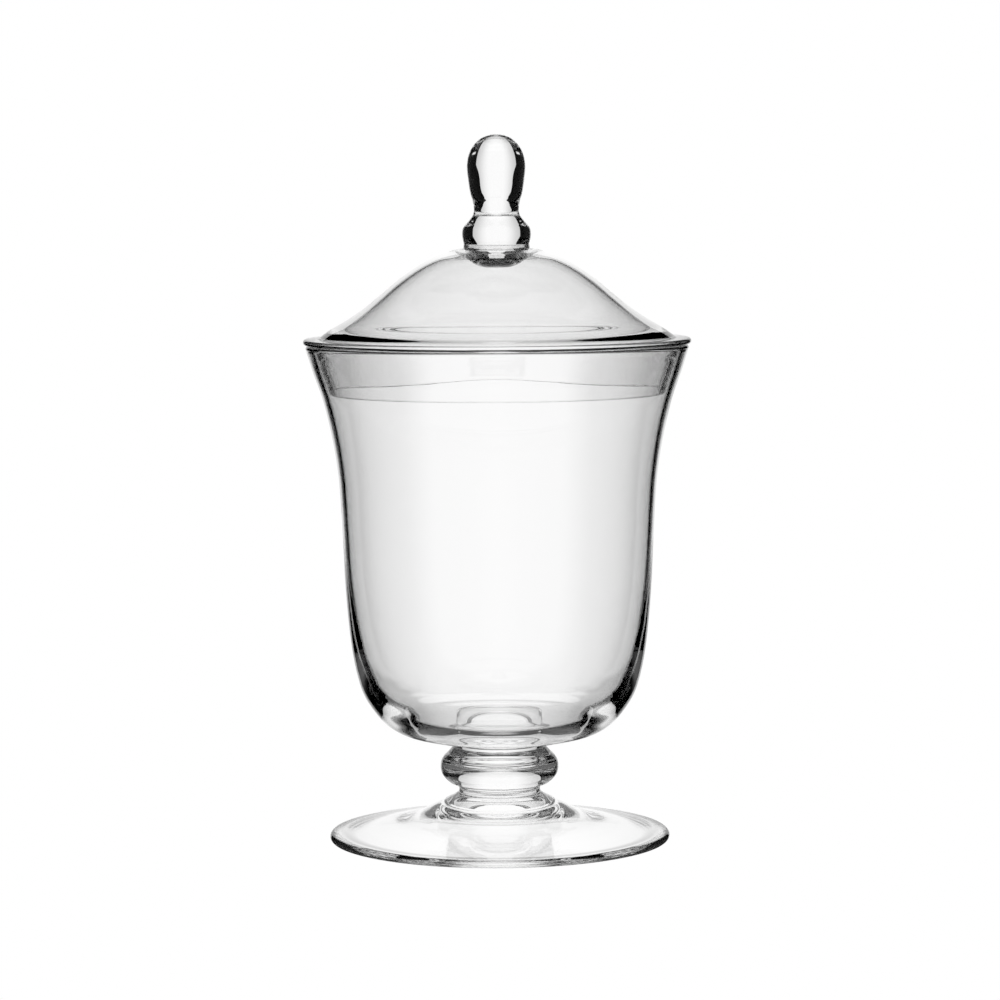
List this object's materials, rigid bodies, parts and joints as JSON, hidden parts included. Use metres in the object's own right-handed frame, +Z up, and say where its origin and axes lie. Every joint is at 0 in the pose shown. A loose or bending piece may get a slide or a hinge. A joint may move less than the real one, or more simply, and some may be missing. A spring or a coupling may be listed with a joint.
{
  "type": "apothecary jar",
  "caption": "Footed clear glass jar with a flared bell-shaped bowl and a loose domed lid with a knob, for dry goods.",
  "frame": {"origin": "middle of the foot's flat resting ring, on the surface that the jar stands on", "axes": "+Z up along the jar's axis, from the foot to the finial's tip"},
  "size_m": [0.1808, 0.1808, 0.33],
  "materials": {
    "blown_glass": "clear, fire polished, with faint blowing waves",
    "solid_glass": "clear, fire polished, solid"
  },
  "bodies": {
    "jar": {"foot": "solid_glass", "stem_knop": "solid_glass", "stem_button": "solid_glass", "bowl": "blown_glass"},
    "lid": {"lid": "blown_glass", "finial_disc": "solid_glass", "finial_collar": "solid_glass", "finial_knob": "solid_glass"}
  },
  "joints": [
    {"name": "lid_lift", "type": "slide", "parent": "jar", "child": "lid", "axis": [0, 0, 1], "range_m": [0, 0.12]}
  ]
}
